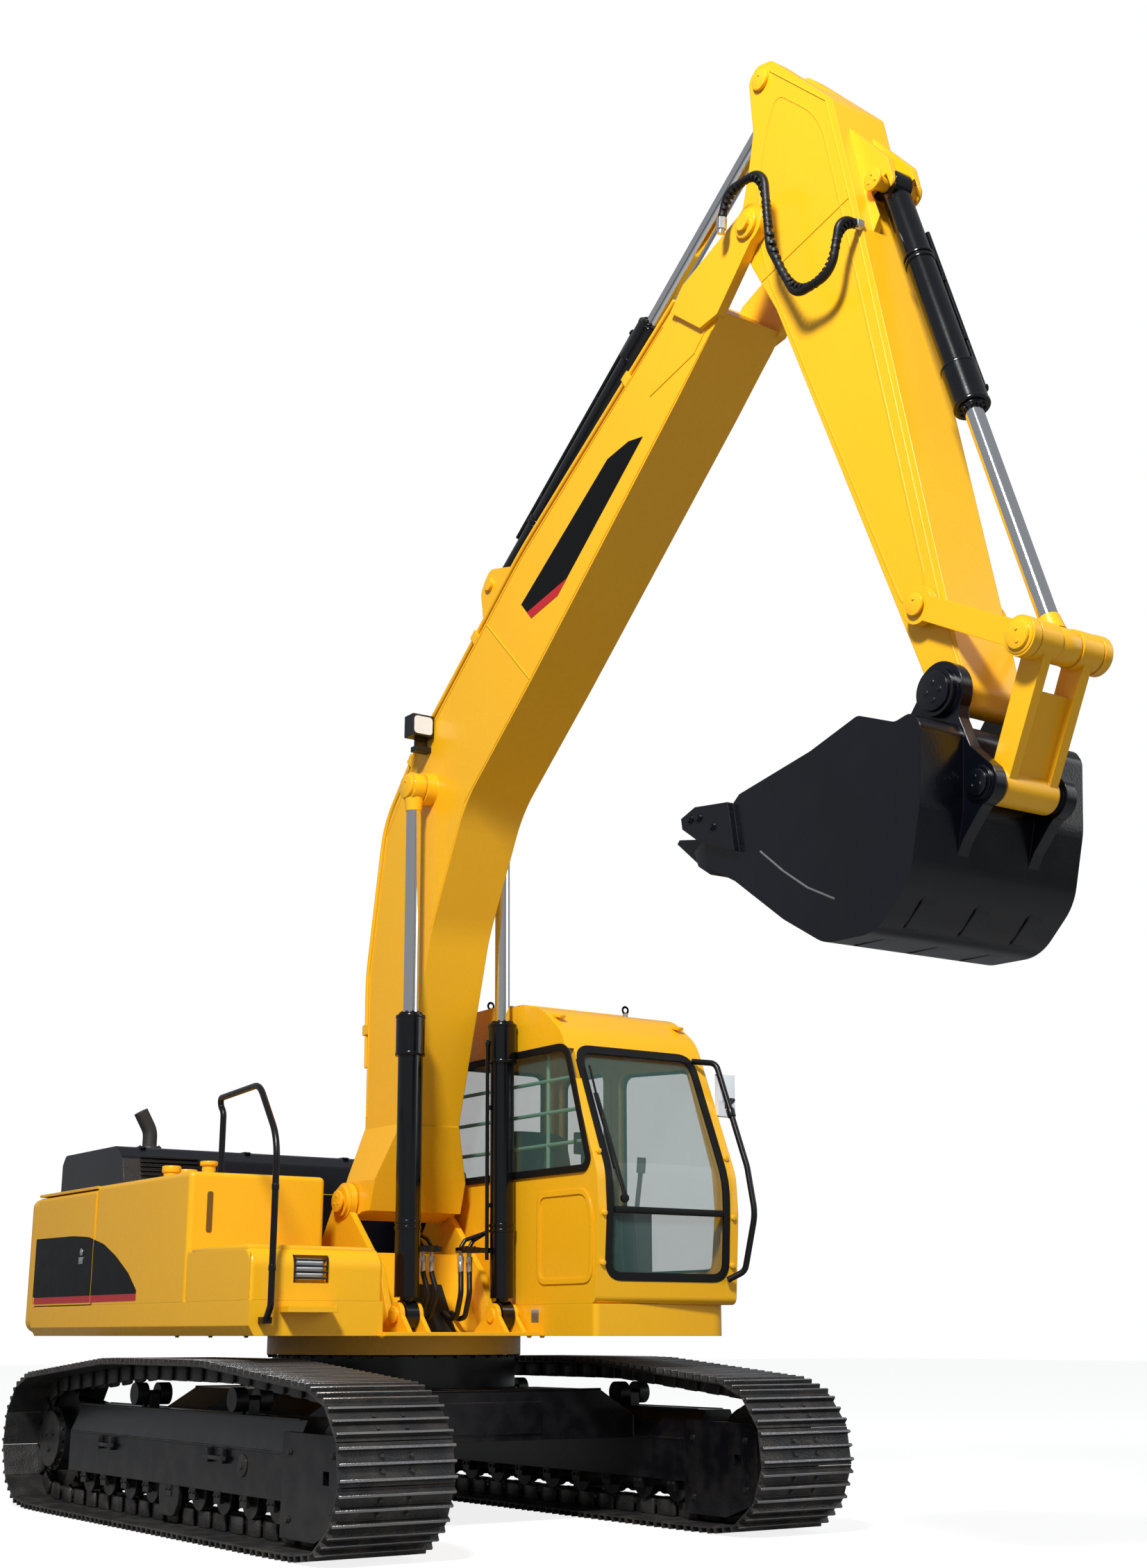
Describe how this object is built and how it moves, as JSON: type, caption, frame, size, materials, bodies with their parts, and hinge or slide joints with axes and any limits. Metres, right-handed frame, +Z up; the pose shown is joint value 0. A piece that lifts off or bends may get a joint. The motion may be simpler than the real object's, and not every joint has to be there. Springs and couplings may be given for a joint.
{
  "type": "crawler excavator",
  "caption": "Crawler excavator with a slewing cab and body, a raised boom, folded arm and toothed bucket moved by hydraulic cylinders, standing on steel tracks.",
  "frame": {"origin": "on the ground, on the slewing axis of the revolving body", "axes": "+Z up, +Y towards the counterweight, so the front is -Y, and +X towards the cab side, which is the machine's left"},
  "size_m": [2.99, 8.0788, 7.1436],
  "materials": {
    "yellow_paint": "gloss",
    "black_paint": "satin",
    "cylinder_paint": "gloss",
    "bucket_paint": "satin",
    "dark_cover": "satin",
    "track_steel": "satin",
    "roller_steel": "satin",
    "chrome_rod": "polished",
    "tooth_steel": "satin",
    "hose_rubber": "matte",
    "seat_fabric": "matte",
    "console_plastic": "matte",
    "cab_glazing": "polished",
    "lamp_body": "satin",
    "engine_paint": "satin",
    "exhaust_steel": "satin",
    "rail_paint": "satin"
  },
  "bodies": {
    "undercarriage": {"car_body": "black_paint", "side_frame_left": "black_paint", "side_frame_right": "black_paint", "track_left": "track_steel", "track_right": "track_steel", "final_drive_left": "roller_steel", "final_drive_right": "roller_steel", "idler_and_rollers_left": "roller_steel", "idler_and_rollers_right": "roller_steel"},
    "upper_structure": {"upper_frame": "yellow_paint", "side_decks": "yellow_paint", "toolbox": "yellow_paint", "fuel_tank": "yellow_paint", "counterweight": "yellow_paint", "body_covers": "dark_cover", "bay_roof": "yellow_paint", "engine_block": "engine_paint", "cab_shell": "yellow_paint", "cab_glass": "cab_glazing", "operator_seat": "seat_fabric", "controls": "console_plastic", "handrail_right": "rail_paint", "handrail_left": "rail_paint", "boom_hoses": "hose_rubber"},
    "pump_door_body": {"pump_door": "yellow_paint"},
    "cooler_door_body": {"cooler_door": "yellow_paint"},
    "hood_body": {"engine_hood": "dark_cover", "exhaust": "exhaust_steel"},
    "cab_door_body": {"cab_door": "yellow_paint", "door_glass": "cab_glazing"},
    "boom_body": {"boom": "yellow_paint", "boom_lines": "yellow_paint", "work_lamp": "lamp_body"},
    "boom_barrels": {"boom_cylinder_barrels": "cylinder_paint"},
    "boom_rods": {"boom_cylinder_rods": "chrome_rod"},
    "arm_body": {"arm": "yellow_paint", "arm_hose": "hose_rubber"},
    "arm_barrel": {"arm_cylinder_barrel": "cylinder_paint"},
    "arm_rod": {"arm_cylinder_rod": "chrome_rod"},
    "bucket_body": {"bucket": "bucket_paint", "bucket_teeth": "tooth_steel"},
    "bucket_barrel": {"bucket_cylinder_barrel": "cylinder_paint"},
    "bucket_rod": {"bucket_cylinder_rod": "chrome_rod"},
    "side_link_body": {"side_links": "yellow_paint"},
    "h_link_body": {"h_link": "yellow_paint"}
  },
  "joints": [
    {"name": "slew", "type": "hinge", "parent": "undercarriage", "child": "upper_structure", "pos_m": [0, 0, 0.882], "axis": [0, 0, 1], "continuous": true},
    {"name": "boom_lift", "type": "hinge", "parent": "upper_structure", "child": "boom_body", "pos_m": [0, 0.02, 1.729], "axis": [-1, 0, 0], "range_deg": [-82, 10]},
    {"name": "arm_fold", "type": "hinge", "parent": "boom_body", "child": "arm_body", "pos_m": [0, -3.661, 6.251], "axis": [1, 0, 0], "range_deg": [-93, 26]},
    {"name": "bucket_curl", "type": "hinge", "parent": "arm_body", "child": "bucket_body", "pos_m": [0, -4.803, 3.513], "axis": [1, 0, 0], "range_deg": [-127, 30]},
    {"name": "boom_barrel_tilt", "type": "hinge", "parent": "upper_structure", "child": "boom_barrels", "pos_m": [0, -0.665, 1.094], "axis": [-1, 0, 0], "range_deg": [-76, 9.5]},
    {"name": "boom_rod_slide", "type": "slide", "parent": "boom_barrels", "child": "boom_rods", "axis": [0, 0.0152, 0.9999], "range_m": [-1.2, 0.15]},
    {"name": "arm_barrel_tilt", "type": "hinge", "parent": "boom_body", "child": "arm_barrel", "pos_m": [0, -1.1, 5.214], "axis": [1, 0, 0], "range_deg": [-3, 1]},
    {"name": "arm_rod_slide", "type": "slide", "parent": "arm_barrel", "child": "arm_rod", "axis": [0, -0.8204, 0.5718], "range_m": [-1.08, 0.31]},
    {"name": "bucket_barrel_tilt", "type": "hinge", "parent": "arm_body", "child": "bucket_barrel", "pos_m": [0, -4.45, 6.119], "axis": [1, 0, 0], "range_deg": [-7, 3]},
    {"name": "bucket_rod_slide", "type": "slide", "parent": "bucket_barrel", "child": "bucket_rod", "axis": [0, -0.3043, -0.9526], "range_m": [-0.81, 0.2]},
    {"name": "side_link_swing", "type": "hinge", "parent": "arm_body", "child": "side_link_body", "pos_m": [0, -4.692, 3.931], "axis": [1, 0, 0], "range_deg": [-84, 21]},
    {"name": "h_link_swing", "type": "hinge", "parent": "bucket_body", "child": "h_link_body", "pos_m": [0, -4.994, 3.087], "axis": [1, 0, 0], "range_deg": [-21, 85]},
    {"name": "pump_door_hinge", "type": "hinge", "parent": "upper_structure", "child": "pump_door_body", "pos_m": [-1.346, 2.232, 1.5], "axis": [0, 0, -1], "range_deg": [0, 120]},
    {"name": "cooler_door_hinge", "type": "hinge", "parent": "upper_structure", "child": "cooler_door_body", "pos_m": [1.346, 2.232, 1.5], "axis": [0, 0, 1], "range_deg": [0, 120]},
    {"name": "hood_hinge", "type": "hinge", "parent": "upper_structure", "child": "hood_body", "pos_m": [0, 2.244, 1.856], "axis": [-1, 0, 0], "range_deg": [0, 65]},
    {"name": "cab_door_hinge", "type": "hinge", "parent": "upper_structure", "child": "cab_door_body", "pos_m": [1.364, -0.312, 1.9], "axis": [0, 0, 1], "range_deg": [0, 160]}
  ],
  "couplings": [
    {"joint": "boom_barrel_tilt", "follows": "boom_lift", "ratio": 0.92},
    {"joint": "boom_rod_slide", "follows": "boom_lift", "m_per_rad": 0.8},
    {"joint": "arm_barrel_tilt", "follows": "arm_fold", "ratio": 0.03},
    {"joint": "arm_rod_slide", "follows": "arm_fold", "m_per_rad": 0.6545},
    {"joint": "bucket_barrel_tilt", "follows": "bucket_curl", "ratio": 0.05},
    {"joint": "bucket_rod_slide", "follows": "bucket_curl", "m_per_rad": 0.361},
    {"joint": "side_link_swing", "follows": "bucket_curl", "ratio": 0.65},
    {"joint": "h_link_swing", "follows": "bucket_curl", "ratio": -0.66}
  ]
}
